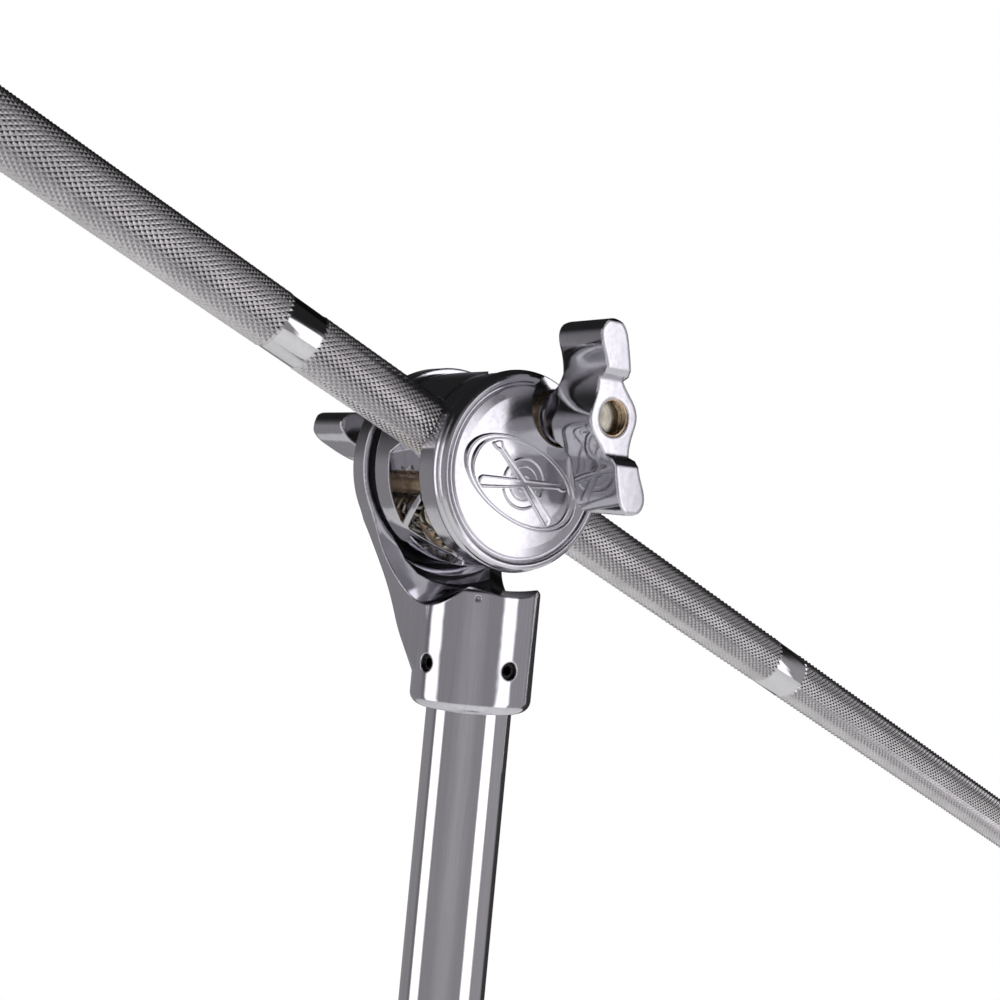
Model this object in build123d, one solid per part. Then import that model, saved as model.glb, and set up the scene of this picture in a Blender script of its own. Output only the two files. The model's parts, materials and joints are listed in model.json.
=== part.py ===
from build123d import *
import math
import os

# Cymbal boom stand. Millimetres, +Z up, origin on the floor on the axis of the upright tubes.
# The boom arm lies in the XZ plane: cymbal end towards -X and up, counter end towards +X.
# The tilt axis of the boom head is parallel to Y, its round clamp cap faces -Y.

# ---- driving dimensions -------------------------------------------------
HEAD_Z = 950.0          # height of the tilt axis above the floor
ARM_TILT = 23.6         # arm below horizontal on the +X side, degrees

BASE_R = 12.7           # base tube 25.4 mm outside diameter
MID_R = 11.1            # middle tube 22.2 mm
TOP_R = 9.525           # upper tube 19.05 mm
WALL = 1.2
RUN = 0.05              # radial clearance of a running fit

ARM_R = 6.35            # boom arm 12.7 mm
ARM_BORE = 4.2
ARM_LEFT = -240.0       # ends along the arm, measured from the tilt axis
ARM_RIGHT = 268.0
BAND_LEFT = (-61.7, -53.6)
BAND_RIGHT = (102.0, 112.0)
KNURL_LEFT = -217.0

LEG_PIVOT_R = 28.0
HUB_PIVOT_Z = 45.0
LEG_SPREAD = 50.0       # leg angle from vertical, degrees
LEG_L = 460.0
BRACE_L = 203.0
COLLAR_Z = HUB_PIVOT_Z + 2 * BRACE_L * math.cos(math.radians(LEG_SPREAD))
LEG_AZ = (180.0, 300.0, 60.0)

DISC_R = 22.0           # drum and cap radius
CAP_BACK = -3.6
CAP_FRONT = -12.4
DRUM_FRONT = -3.3
DRUM_WEB = 8.3
DRUM_BACK = 14.4
PLATE_FRONT = 16.2
PLATE_BACK = 21.4
STUD = (9.2, 12.8)      # clamp stud, X and Z from the tilt axis
RECESS = (8.3, 14.6)
RECESS_R = 8.5
CLAMP_NUT_Y = -11.3     # seat of the clamp wing nut
REAR_NUT_Y = 28.5       # seat of the tilt wing nut

SOCKET_R = 13.5
SOCKET_BOTTOM = -53.0
SOCKET_TOP = -25.4
TUBE_TOP = -29.0
SCREW_Z = -43.1
SCREW_R = 2.0            # M4 set screws
SCREW_AZ = (0.0, 185.0, 270.0)

TILTER_S = -257.0       # cymbal tilter hinge, along the arm

NODES = {}


# ---- helpers --------------------------------------------------------------
def cyl_z(r, z0, z1, x=0.0, y=0.0):
    return Pos(x, y, (z0 + z1) / 2) * Cylinder(r, z1 - z0)


def cyl_y(r, y0, y1, x=0.0, z=0.0):
    return Pos(x, (y0 + y1) / 2, z) * Rot(90, 0, 0) * Cylinder(r, y1 - y0)


def cyl_x(r, x0, x1, y=0.0, z=0.0):
    return Pos((x0 + x1) / 2, y, z) * Rot(0, 90, 0) * Cylinder(r, x1 - x0)


def box(x0, x1, y0, y1, z0, z1):
    return Pos((x0 + x1) / 2, (y0 + y1) / 2, (z0 + z1) / 2) * Box(x1 - x0, y1 - y0, z1 - z0)


def turned(points):
    """Solid of revolution about Z from (radius, height) points."""
    return revolve(Plane.XZ * make_face(Polyline(*points, close=True)), Axis.Z)


def soften(shape, edges, radius):
    """Fillet, or the plain shape if the edges are too tight for the radius."""
    for r in (radius, radius * 0.6, radius * 0.35):
        try:
            done = fillet(edges, r)
            if done.is_valid:
                return done
        except Exception:
            continue
    return shape


def ring_edges(shape, radius, z, tol=0.01):
    return [
        e for e in shape.edges().filter_by(GeomType.CIRCLE)
        if abs(e.radius - radius) < tol and abs(e.center().Z - z) < tol
    ]


def along_arm(shape):
    """Puts a shape modelled along +Z onto the arm's axis, +Z towards the +X counter end."""
    return Pos(0, 0, HEAD_Z) * Rot(0, 90 + ARM_TILT, 0) * shape


def at_head(shape):
    return Pos(0, 0, HEAD_Z) * shape


def at_leg(shape, azimuth):
    return Rot(0, 0, azimuth) * shape


def keep(name, shape):
    NODES[name] = shape


# ---- wing nut --------------------------------------------------------------
# Axis +Z, seat at z = 0. S-shaped wings, each with a thick paddle at its tip.
NUT_HUB = 18.0
NUT_TOP = 21.0


def wing_body(hub_top=NUT_HUB, bore=None):
    half = [(6.2, 1.2), (4.6, 4.2), (2.3, 6.8), (1.0, 9.2), (0.5, 11.6), (-0.3, 15.0), (-1.4, 18.2),
            (-3.6, 20.1), (-6.0, 19.9), (-7.7, 18.0), (-7.6, 15.4), (-6.2, 12.2), (-5.2, 9.0), (-5.0, 6.0), (-5.7, 2.6)]
    outline = half + [(-x, -y) for x, y in half]
    wings = extrude(make_face(Spline(*outline, periodic=True)), NUT_TOP)
    side = [(4.6, 2.2), (6.4, 4.4), (9.0, 6.0), (13.5, 6.7), (19.4, 6.6), (21.2, 8.6), (21.2, NUT_TOP - 1.6),
            (19.6, NUT_TOP), (9.9, NUT_TOP), (8.6, NUT_TOP - 1.0), (7.9, hub_top)]
    profile = side + [(-u, w) for u, w in reversed(side)]
    flank = extrude(Plane.YZ * make_face(Polyline(*profile, close=True)), 12, both=True)
    wings = wings & flank
    wings = soften(wings, wings.edges().filter_by(lambda e: e.length > 2.0), 0.8)
    hub = turned([(0, 0), (6.3, 0), (6.3, 1.1), (5.9, 1.8), (5.1, 3.2), (4.9, 6.0), (5.2, hub_top - 5),
                  (5.9, hub_top), (0, hub_top)])
    nut = wings + hub
    if bore:
        nut = nut - cyl_z(bore, -1, NUT_TOP + 5)
    return nut


# ---- tripod base ------------------------------------------------------------
def base_tube():
    return cyl_z(BASE_R, 24, 520) - cyl_z(BASE_R - WALL, 20, 530)


def base_tube_plug():
    plug = cyl_z(BASE_R - WALL, 24, 40) + cyl_z(BASE_R, 20, 24) - cyl_z(8, 27, 45)
    return soften(plug, ring_edges(plug, BASE_R, 20), 1.5)


def ears(z, half_width, reach, height, inner):
    """Three lugs, one towards each leg."""
    lug = box(inner, reach, -half_width, half_width, z - height / 2, z + height / 2)
    nose = Pos(reach, 0, z) * Rot(90, 0, 0) * Cylinder(height / 2, 2 * half_width)
    lug = lug + nose
    out = None
    for az in LEG_AZ:
        one = at_leg(lug, az)
        out = one if out is None else out + one
    return out


def pin_holes(z, radius):
    out = None
    for az in LEG_AZ:
        one = at_leg(cyl_y(radius, -30, 30, LEG_PIVOT_R, z), az)
        out = one if out is None else out + one
    return out


def hub_casting():
    body = turned([(BASE_R, 30), (17.5, 30), (18.6, 32), (18.6, 58), (17.5, 60), (BASE_R, 60)])
    body = body + ears(HUB_PIVOT_Z, 4.9, LEG_PIVOT_R, 14, 15)
    body = body - cyl_z(BASE_R, 20, 70)
    return body - pin_holes(HUB_PIVOT_Z, 3.0)


def leg_collar():
    z = COLLAR_Z
    body = turned([(BASE_R, z - 14), (18.2, z - 14), (19.2, z - 12), (19.2, z + 26), (17.4, z + 28.5),
                   (BASE_R, z + 28.5)])
    body = body + ears(z, 7.7, LEG_PIVOT_R, 15, 15)
    body = body + cyl_x(7.5, 14, 26, 0, z + 18)
    body = body - cyl_z(BASE_R + RUN, z - 20, z + 40)
    body = body - cyl_x(4.0 + RUN, 10, 30, 0, z + 18)
    return body - pin_holes(z, 3.0)


def pivot_pins(z, half_length):
    """Headed pins through the lugs and the straps outside them."""
    pin = cyl_y(3.0, -half_length, half_length, LEG_PIVOT_R, z)
    for side in (-1, 1):
        y = side * (half_length + 0.75)
        head = Pos(LEG_PIVOT_R, y, z) * Rot(90, 0, 0) * Cylinder(4.8, 1.5)
        pin = pin + head
    out = [at_leg(pin, az) for az in LEG_AZ]
    return Compound(children=out)


def collar_wing_bolt():
    z = COLLAR_Z + 18
    head = Pos(29.0, 0, z) * Rot(0, 90, 0) * wing_body()
    return cyl_x(4.0, 13.1, 33, 0, z) + head


def strap(length, width, thick, y0, hole_a, hole_b):
    """Flat bar along -Z from a pivot at the origin, rounded at both ends."""
    bar = box(-width / 2, width / 2, y0, y0 + thick, -length, 0)
    bar = bar + cyl_y(width / 2, y0, y0 + thick, 0, 0) + cyl_y(width / 2, y0, y0 + thick, 0, -length)
    bar = bar - cyl_y(hole_a[1], y0 - 1, y0 + thick + 1, 0, -hole_a[0])
    return bar - cyl_y(hole_b[1], y0 - 1, y0 + thick + 1, 0, -hole_b[0])


def leg():
    pair = None
    for y0 in (8.0, -10.5):
        one = strap(LEG_L - 6, 15.0, 2.5, y0, (0, 3.0 + RUN), (BRACE_L, 3.0))
        pair = one if pair is None else pair + one
    for at in (100.0, 428.0):
        pair = pair + cyl_y(3.5, -8.5, 8.5, 0, -at)
    return Pos(LEG_PIVOT_R, 0, COLLAR_Z) * Rot(0, -LEG_SPREAD, 0) * pair


def leg_rivets():
    both = []
    for side in (-1, 1):
        shank = cyl_y(3.0, 8.0, 10.5, 0, -BRACE_L)
        head = Pos(0, 10.5, -BRACE_L) * Rot(-90, 0, 0) * turned([(0, 0), (5.2, 0), (4.9, 0.9), (3.4, 1.8), (0, 2.1)])
        rivet = shank + head
        both.append(rivet if side > 0 else Rot(0, 0, 180) * Pos(0, 0, 0) * rivet)
    group = Compound(children=both)
    return Pos(LEG_PIVOT_R, 0, COLLAR_Z) * Rot(0, -LEG_SPREAD, 0) * group


def foot():
    reach = LEG_PIVOT_R + LEG_L * math.sin(math.radians(LEG_SPREAD))
    height = COLLAR_Z - LEG_L * math.cos(math.radians(LEG_SPREAD))
    roller = cyl_y(10.9, -14, 14, reach, height)
    roller = soften(roller, roller.edges().filter_by(GeomType.CIRCLE), 2.5)
    sleeve = Pos(LEG_PIVOT_R, 0, COLLAR_Z) * Rot(0, -LEG_SPREAD, 0) * box(-9.2, 9.2, -12.4, 12.4, -LEG_L, -LEG_L + 26)
    sleeve = soften(sleeve, sleeve.edges(), 2.0)
    body = roller + sleeve
    body = body - box(300, 460, -40, 40, -40, 0)
    return body - leg()


def brace():
    pair = None
    for y0 in (5.2, -7.7):
        one = strap(BRACE_L, 13.0, 2.5, y0, (0, 3.0 + RUN), (BRACE_L, 3.0 + RUN))
        pair = one if pair is None else pair + one
    pair = pair + (cyl_y(4.2, -5.3, 5.3, 0, -BRACE_L * 0.5))
    return Pos(LEG_PIVOT_R, 0, HUB_PIVOT_Z) * Rot(0, 180 + LEG_SPREAD, 0) * pair


# ---- tube clamps ---------------------------------------------------------------
CLAMP_AZ = -60.0
LUG_HALF = 10.5         # half the width across both lugs


def clamp_casting(r_outer_tube, z0, z_tube, z1):
    """Split sleeve: grips the larger tube below z_tube and the nylon bushing above it."""
    r = r_outer_tube
    body = turned([(r, z0), (r + 3.4, z0), (r + 4.4, z0 + 1.6), (r + 4.4, z1 - 1.6), (r + 3.4, z1), (r, z1)])
    top = z1 - 3
    low = z1 - 25
    lugs = box(r, r + 19, -LUG_HALF, LUG_HALF, low, top)
    lugs = soften(lugs, [e for e in lugs.edges() if e.center().X > r + 18], 3.0)
    body = body + lugs
    body = body - cyl_z(r, z0 - 1, z1 + 1)
    body = body - box(r - 3, r + 25, -1.25, 1.25, z_tube, z1 + 1)
    body = body - box(r - 3, r + 25, -1.25, 1.25, low - 1, z1 + 1)
    return body - cyl_y(4.0, -20, 20, r + 11, (low + top) / 2)


def clamp_bolt(r_outer_tube, z1):
    r = r_outer_tube
    z = z1 - 14
    bolt = cyl_y(4.0, -LUG_HALF - 18.5, LUG_HALF, r + 11, z)
    head = Pos(r + 11, LUG_HALF, z) * Rot(-90, 0, 0) * turned([(0, 0), (6.5, 0), (6.5, 2.4), (5.0, 4.0), (0, 4.6)])
    return bolt + head


def clamp_nut(r_outer_tube, z1):
    r = r_outer_tube
    return Pos(r + 11, -LUG_HALF - 0.1, z1 - 14) * Rot(90, 0, 0) * Rot(0, 0, 25) * wing_body(bore=4.0 + RUN)


def bushing(r_in, r_out, z0, z1, flange_r):
    ring = cyl_z(r_out, z0, z1) + cyl_z(flange_r, z1, z1 + 2)
    ring = ring - cyl_z(r_in, z0 - 1, z1 + 5)
    return soften(ring, ring_edges(ring, flange_r, z1 + 2), 0.8)


def memory_lock(r_tube, z0):
    """Split ring that records the height, pinched by a square-headed key screw."""
    r = r_tube
    body = turned([(r, z0), (r + 4.2, z0), (r + 5.2, z0 + 1), (r + 5.2, z0 + 13), (r + 4.2, z0 + 14), (r, z0 + 14)])
    lug = box(r, r + 13, -7, 7, z0 + 1, z0 + 13)
    lug = soften(lug, [e for e in lug.edges() if e.center().X > r + 12], 2.5)
    body = body + lug - cyl_z(r, z0 - 1, z0 + 20) - box(r - 3, r + 20, -1, 1, z0 - 1, z0 + 15)
    body = body - cyl_y(2.5, -10, 10, r + 8, z0 + 7)
    shank = cyl_y(2.5, -7, 7, r + 8, z0 + 7)
    head = cyl_y(4.4, -8.5, -7, r + 8, z0 + 7)
    key = Pos(r + 8, -11.5, z0 + 7) * Rot(0, 45, 0) * Box(5.2, 6, 5.2)
    return body, shank + head + key


# ---- boom head -------------------------------------------------------------------
def neck_envelope():
    """Round at the socket, opening towards the corners of the plate above it."""
    low = []
    for angle in (-90, -30, 0, 35, 60, 75, 90, 105, 120, 145, 180, 210):
        low.append((13.48 * math.cos(math.radians(angle)), 13.48 * math.sin(math.radians(angle))))
    right = [(11.7, -6.7), (13.5, 0.0), (18.6, 12.0), (22.0, 22.6), (11.0, 23.6)]
    high = [(0.0, -13.48)] + right + [(0.0, 24.0)] + [(-x, y) for x, y in reversed(right)]
    foot_face = make_face(Plane.XY.offset(-46.0) * Spline(*low, periodic=True))
    head_face = make_face(Plane.XY.offset(-8.0) * Spline(*high, periodic=True))
    return loft([foot_face, head_face], ruled=True)


def tilter_bracket():
    plate = cyl_y(23.2, PLATE_FRONT, PLATE_BACK)
    cheek = []
    for side in (1, -1):
        edge = [(20.6, -10.6), (18.4, -15.6), (16.6, -20.6), (15.0, -25.4), (13.9, -30.0), (13.5, -35.0)]
        cheek.append([(side * x, z) for x, z in edge])
    right = cheek[0]
    left = list(reversed(cheek[1]))
    face = make_face([
        Spline(*right),
        Line(right[-1], (13.5, -52)),
        Line((13.5, -52), (-13.5, -52)),
        Line((-13.5, -52), left[0]),
        Spline(*left),
        Line(left[-1], right[0]),
    ])
    front = extrude(Plane.XZ * face, 40, both=True)
    back = [(PLATE_BACK, -14.0), (20.6, -19.0), (18.9, -23.5), (16.4, -29.0), (14.3, -34.5), (13.5, -43.0)]
    side_face = make_face([
        Line((PLATE_FRONT, -8.0), (PLATE_BACK, -8.0)),
        Line((PLATE_BACK, -8.0), back[0]),
        Spline(*back, tangents=[(0, -1), (0, -1)]),
        Line(back[-1], (13.4, -45.9)),
        Line((13.4, -45.9), (0.0, -45.9)),
        Line((0.0, -45.9), (0.0, SOCKET_TOP)),
        Spline((0.0, SOCKET_TOP), (8.5, -23.9), (13.2, -20.8), (15.5, -17.0), (PLATE_FRONT, -12.5),
               tangents=[(1, 0), (0, 1)]),
        Line((PLATE_FRONT, -12.5), (PLATE_FRONT, -8.0)),
    ])
    neck = front & extrude(Plane.YZ * side_face, 40, both=True) & neck_envelope()
    socket = cyl_z(SOCKET_R, SOCKET_BOTTOM, SOCKET_TOP)
    socket = fillet(ring_edges(socket, SOCKET_R, SOCKET_BOTTOM), 2.6)
    socket = fillet(ring_edges(socket, SOCKET_R, SOCKET_TOP), 1.6)
    swing = Rot(90, 0, 0) * turned([(0, 20), (27.2, 20), (27.2, -7.0), (26.6, -10.5), (24.8, -13.6), (22.2, -15.7),
                                     (20.0, -PLATE_FRONT), (0, -PLATE_FRONT)])
    lower = neck + socket - swing
    for side in (-1, 1):
        lower = lower - Pos(0, 0, -5.7) * Rot(0, side * (90 + 26.6), 0) * Pos(0, 0, 25) * Cylinder(16.2, 50)
    body = plate + lower
    body = body - cyl_z(TOP_R, -70, TUBE_TOP)
    body = body - cyl_y(4.0 + RUN, 10, 30)
    for angle in SCREW_AZ:
        body = body - Rot(0, 0, angle) * cyl_x(SCREW_R, 5, 20, 0, SCREW_Z)
    body = body - Rot(0, 0, 233) * cyl_x(0.6, 10.5, 16.0, 0, -28.0)
    rim = [e for e in body.edges().filter_by(GeomType.CIRCLE) if abs(e.radius - 23.2) < 0.01]
    body = soften(body, rim, 0.9)
    return body


def set_screws():
    screw = cyl_x(SCREW_R, TOP_R, 12.6, 0, SCREW_Z)
    hexagon = Pos(12.6, 0, SCREW_Z) * Rot(0, 90, 0) * extrude(RegularPolygon(1.15, 6), -2.0)
    screw = screw - hexagon
    return Compound(children=[Rot(0, 0, angle) * screw for angle in SCREW_AZ])


def arm_passage(r):
    return Rot(0, 90 + ARM_TILT, 0) * Cylinder(r, 80)


def window(theta_mid, points, depth=7.0):
    """Opening through the drum wall from (angle, y) corners in order."""
    flat = [(23.0 * math.sin(math.radians(a - theta_mid)), y) for a, y in points]
    frame = Plane(
        origin=(24 * math.cos(math.radians(theta_mid)), 0, 24 * math.sin(math.radians(theta_mid))),
        x_dir=(-math.sin(math.radians(theta_mid)), 0, math.cos(math.radians(theta_mid))),
        z_dir=(math.cos(math.radians(theta_mid)), 0, math.sin(math.radians(theta_mid))),
    )
    corners = []
    for t, y in flat:
        corners.append((t, -y if frame.y_dir.Y < 0 else y))
    face = make_face(Polyline(*corners, close=True))
    face = fillet(face.vertices(), 0.6)
    return extrude(frame * face, -depth)


def drum():
    wall = cyl_y(DISC_R, DRUM_FRONT, DRUM_BACK) - cyl_y(18.8, DRUM_FRONT - 1, DRUM_WEB)
    edge = [e for e in wall.edges().filter_by(GeomType.CIRCLE)
            if abs(e.radius - DISC_R) < 0.01 and abs(e.center().Y - DRUM_BACK) < 0.01]
    wall = soften(wall, edge, 1.0)
    cradle = Rot(0, ARM_TILT, 0) * box(-20.5, 20.5, 1.5, DRUM_WEB + 0.5, -8.6, 8.6)
    cradle = cradle & cyl_y(20.0, 0, 12)
    boss = cyl_y(6.2, 0.5, DRUM_WEB + 0.5, STUD[0], STUD[1])
    body = wall + cradle + boss
    front = None
    for turn in (0, 180):
        first = [(167.0, -6), (167.0, 0.0), (172.5, 5.2), (176.5, 8.0), (218.0, 8.0), (198.5, -3.4), (198.5, -6)]
        second = [(203.5, -6), (203.5, -3.4), (221.5, 6.6), (239.5, -3.4), (239.5, -6)]
        third_cut = [(244.5, -3.2), (226.5, 8.0), (263.0, 8.0), (247.0, -3.2)]
        fourth = [(249.5, -6), (249.5, -3.4), (267.0, 6.6), (284.5, -3.4), (284.5, -6)]
        for mid, pts in ((195, first), (221.5, second), (244.8, third_cut), (267, fourth)):
            cut = window(mid + turn, [(a + turn, y) for a, y in pts])
            front = cut if front is None else front + cut
    body = body - front
    body = body - arm_passage(ARM_R + RUN)
    body = body - cyl_y(6.6, DRUM_WEB - 2, 11.5) - cyl_y(4.0, 0, 20)
    body = body - cyl_y(4.0, -5, 13.0, STUD[0], STUD[1])
    for x, z in GUIDES:
        body = body - cyl_y(2.3, 0, 12.5, x, z)
    return body


GUIDES = ((-14.9, -4.6), (14.9, 4.6))


def guide_pins():
    return Compound(children=[cyl_y(2.3, -7.0, 12.5, x, z) for x, z in GUIDES])


def cap_spring():
    """Coil spring that lifts the cap off the arm when the clamp nut is loosened."""
    path = Helix(pitch=2.6, height=15.6, radius=3.1)
    section = Plane(origin=path @ 0, z_dir=path % 0) * Circle(0.55)
    coil = sweep(section, path=path)
    return Pos(-10.8, 7.4, -10.6) * Rot(90, 0, 0) * coil


def pivot_bolt():
    head = cyl_y(6.4, DRUM_WEB - 0.6, 11.5)
    shank = cyl_y(4.0, 11.5, REAR_NUT_Y + 15.6)
    return head + shank


def friction_disc():
    disc = cyl_y(19.5, DRUM_BACK + 0.1, PLATE_FRONT)
    return disc - cyl_y(4.0 + RUN, 0, 30)


def rear_spring():
    """Stack of spring washers behind the bracket plate."""
    profile = [(4.3, 0), (8.4, 0), (8.4, 1.3), (7.2, 1.8), (8.4, 2.3), (8.4, 3.2), (7.2, 3.7), (8.4, 4.2), (8.4, 5.5),
               (4.3, 5.5)]
    return Pos(0, PLATE_BACK, 0) * Rot(-90, 0, 0) * turned(profile)


def rear_washer():
    ring = cyl_y(9.0, PLATE_BACK + 5.6, REAR_NUT_Y)
    return ring - cyl_y(4.0 + RUN, 20, 40)


def rear_wing_nut():
    return Pos(0, REAR_NUT_Y, 0) * Rot(-90, 0, 0) * Rot(0, 0, 101.8) * wing_body(bore=4.0 + RUN)


def clamp_stud():
    stud = cyl_y(3.95, -26.6, 13.0, STUD[0], STUD[1])
    return stud


def clamp_washer():
    ring = cyl_y(6.4, CLAMP_NUT_Y + 0.02, -10.0, STUD[0], STUD[1])
    return ring - cyl_y(4.0, -20, 0, STUD[0], STUD[1])


def clamp_wing_nut():
    return Pos(STUD[0], CLAMP_NUT_Y, STUD[1]) * Rot(90, 0, 0) * wing_body(bore=4.0)


def front_cap():
    """Pressed and cast cap: domed face, two beads round the rim, plain skirt behind."""
    f = CAP_FRONT
    dome = [(0, 13.5), (6.0, 13.4), (12.0, 13.1), (16.5, 12.7), (18.6, 12.4)]
    profile = [(0, 3.6), (21.6, 3.6), (21.6, 8.7), (21.9, 9.3), (22.1, 10.0), (21.9, 10.6), (21.5, 10.9),
               (21.7, 11.3), (21.6, 11.9), (21.1, 12.4), (20.4, 12.6), (19.7, 12.4), (19.2, 11.9), (18.8, 11.9)]
    shape = turned(profile + list(reversed(dome)))
    body = Rot(90, 0, 0) * shape
    hollow = cyl_y(19.0, -9.2, 0) - (Rot(0, ARM_TILT, 0) * box(-21, 21, -10, 1, -8.6, 8.6))
    hollow = hollow - cyl_y(6.2, -10, 1, STUD[0], STUD[1])
    for x, z in GUIDES:
        hollow = hollow - cyl_y(3.4, -10, 1, x, z)
    body = body - hollow
    body = body - cyl_y(RECESS_R, -20, -10.0, RECESS[0], RECESS[1])
    body = body - cyl_y(4.0, -20, 0, STUD[0], STUD[1])
    for x, z in GUIDES:
        body = body - cyl_y(2.3 + RUN, -8.6, 0, x, z)
    body = body - arm_passage(ARM_R + RUN)
    return body


# ---- boom arm ----------------------------------------------------------------------
def boom_arm():
    """Tube with three knurled grips, parted by two plain bands, and a plain end for the tilter."""
    band = ARM_R - 0.2
    rod = cyl_z(ARM_R, KNURL_LEFT, BAND_LEFT[0]) + cyl_z(band, *BAND_LEFT)
    rod = rod + cyl_z(ARM_R, BAND_LEFT[1], BAND_RIGHT[0]) + cyl_z(band, *BAND_RIGHT)
    rod = rod + cyl_z(ARM_R, BAND_RIGHT[1], ARM_RIGHT - 12) + cyl_z(band, ARM_RIGHT - 12, ARM_RIGHT)
    rod = rod + cyl_z(band, ARM_LEFT, KNURL_LEFT)
    return rod - cyl_z(ARM_BORE, ARM_LEFT - 5, ARM_RIGHT + 5)


def arm_end_cap():
    cap = cyl_z(7.9, ARM_RIGHT - 11.5, ARM_RIGHT + 2.5) - cyl_z(ARM_R - 0.2, ARM_RIGHT - 20, ARM_RIGHT)
    return soften(cap, ring_edges(cap, 7.9, ARM_RIGHT + 2.5), 1.8)


# ---- cymbal tilter --------------------------------------------------------------------
TX = TILTER_S * math.cos(math.radians(ARM_TILT))
TZ = -TILTER_S * math.sin(math.radians(ARM_TILT))


def tilter_base():
    """Half of the ratchet joint, with the sleeve that grips the end of the arm."""
    r = ARM_R - 0.2
    sleeve = cyl_z(9.6, TILTER_S + 13.0, KNURL_LEFT - 1.0)
    sleeve = soften(sleeve, ring_edges(sleeve, 9.6, KNURL_LEFT - 1.0), 1.5)
    sleeve = sleeve - cyl_z(r, ARM_LEFT, 0)
    sleeve = Rot(0, 90 + ARM_TILT, 0) * sleeve
    disc = cyl_y(12.5, 0.0, 9.5, TX, TZ)
    disc = soften(disc, disc.edges().filter_by(GeomType.CIRCLE), 0.8)
    link = Rot(0, ARM_TILT, 0) * box(TILTER_S + 4, TILTER_S + 16, 0.0, 9.0, -8.6, 8.6)
    body = sleeve + disc + link
    return body - cyl_y(4.0, -5, 20, TX, TZ)


def tilter_top():
    """Other half of the ratchet joint, carrying the cymbal post."""
    disc = cyl_y(12.5, -9.5, -0.2, TX, TZ)
    disc = soften(disc, disc.edges().filter_by(GeomType.CIRCLE), 0.8)
    bridge = box(TX - 6.5, TX + 6.5, -9.0, -0.4, TZ + 4, TZ + 24)
    boss = cyl_z(7.0, TZ + 13.2, TZ + 27, TX, 0)
    body = disc + bridge + boss
    body = body - cyl_y(4.0 + RUN, -20, 5, TX, TZ)
    return body - cyl_z(4.0, TZ + 16, TZ + 40, TX, 0)


def tilter_bolt():
    head = cyl_y(6.5, 9.5, 13.5, TX, TZ)
    head = soften(head, head.edges().filter_by(GeomType.CIRCLE), 0.8)
    return cyl_y(4.0, -27.5, 9.5, TX, TZ) + head


def tilter_wing_nut():
    return Pos(TX, -10.0, TZ) * Rot(90, 0, 0) * Rot(0, 0, -100) * wing_body(bore=4.0 + RUN)


POST_TOP = 104.0
SEAT = 30.0


def cymbal_post():
    post = cyl_z(4.0, TZ + 16, TZ + POST_TOP, TX, 0)
    return soften(post, [e for e in post.edges().filter_by(GeomType.CIRCLE) if e.center().Z > TZ + 50], 0.8)


def seat_washer():
    z = TZ + SEAT
    cup = turned([(4.0, -3), (7.5, -3), (8.5, -1.6), (17.0, -0.6), (17.6, 0.9), (16.4, 0.9), (15.8, 0.4), (4.0, 0.4)])
    return Pos(TX, 0, z) * cup


def felt_sleeve():
    z = TZ + SEAT
    sleeve = turned([(4.0, 0.4), (6.8, 0.4), (6.8, 1.6), (5.6, 1.9), (5.6, 36.0), (4.0, 36.0)])
    return Pos(TX, 0, z) * sleeve


def felt(r, z0, z1):
    pad = cyl_z(r, z0, z1, TX, 0)
    pad = soften(pad, pad.edges().filter_by(GeomType.CIRCLE), 2.6)
    return pad


def lower_felt():
    z = TZ + SEAT
    return felt(16.0, z + 2.0, z + 16.0) - cyl_z(5.6, z, z + 40, TX, 0) - cyl_z(6.9, z, z + 2.05, TX, 0)


def upper_felt():
    z = TZ + SEAT
    return felt(15.0, z + 16.2, z + 28.0) - cyl_z(5.6, z, z + 40, TX, 0)


def felt_washer():
    z = TZ + SEAT
    return Pos(TX, 0, z) * turned([(5.6, 28.0), (13.0, 28.0), (13.0, 28.6), (11.0, 29.6), (5.6, 29.6)])


def cymbal_wing_nut():
    return Pos(TX, 0, TZ + SEAT + 36.3) * Rot(0, 0, 60) * wing_body(bore=4.0 + RUN)


# ---- assembly -------------------------------------------------------------------------
def build_base():
    keep("base_tube", base_tube())
    keep("base_tube_plug", base_tube_plug())
    keep("hub_casting", hub_casting())
    keep("hub_pins", pivot_pins(HUB_PIVOT_Z, 7.9))
    keep("leg_collar", leg_collar())
    keep("collar_pins", pivot_pins(COLLAR_Z, 10.8))
    keep("collar_wing_bolt", collar_wing_bolt())
    for i, az in enumerate(LEG_AZ, 1):
        keep(f"leg_{i}", at_leg(leg(), az))
        keep(f"leg_rivets_{i}", at_leg(leg_rivets(), az))
        keep(f"foot_{i}", at_leg(foot(), az))
        keep(f"brace_{i}", at_leg(brace(), az))


def build_tubes():
    lower_top = 540.0
    upper_top = 765.0
    turn = Rot(0, 0, CLAMP_AZ)
    for tag, r, top, z0, tube_z in (("lower", BASE_R, lower_top, 487.0, 520.0), ("upper", MID_R, upper_top, 712.0, 745.0)):
        keep(f"{tag}_clamp", turn * clamp_casting(r, z0, tube_z, top))
        keep(f"{tag}_clamp_bolt", turn * clamp_bolt(r, top))
        keep(f"{tag}_clamp_wing_nut", turn * clamp_nut(r, top))
    keep("lower_bushing", bushing(MID_R + RUN, BASE_R, 520, lower_top, BASE_R + 3.6))
    keep("upper_bushing", bushing(TOP_R + RUN, MID_R - RUN, 745, upper_top, MID_R + 3.6))
    for tag, r, z in (("lower", MID_R, lower_top + 2.3), ("upper", TOP_R, upper_top + 2.3)):
        lock, screw = memory_lock(r, z)
        keep(f"{tag}_memory_lock", turn * lock)
        keep(f"{tag}_key_screw", turn * screw)
    keep("middle_tube", cyl_z(MID_R, 300, 745) - cyl_z(MID_R - WALL, 290, 750))
    keep("upper_tube", cyl_z(TOP_R, 560, HEAD_Z + TUBE_TOP) - cyl_z(TOP_R - WALL, 550, HEAD_Z))


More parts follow.
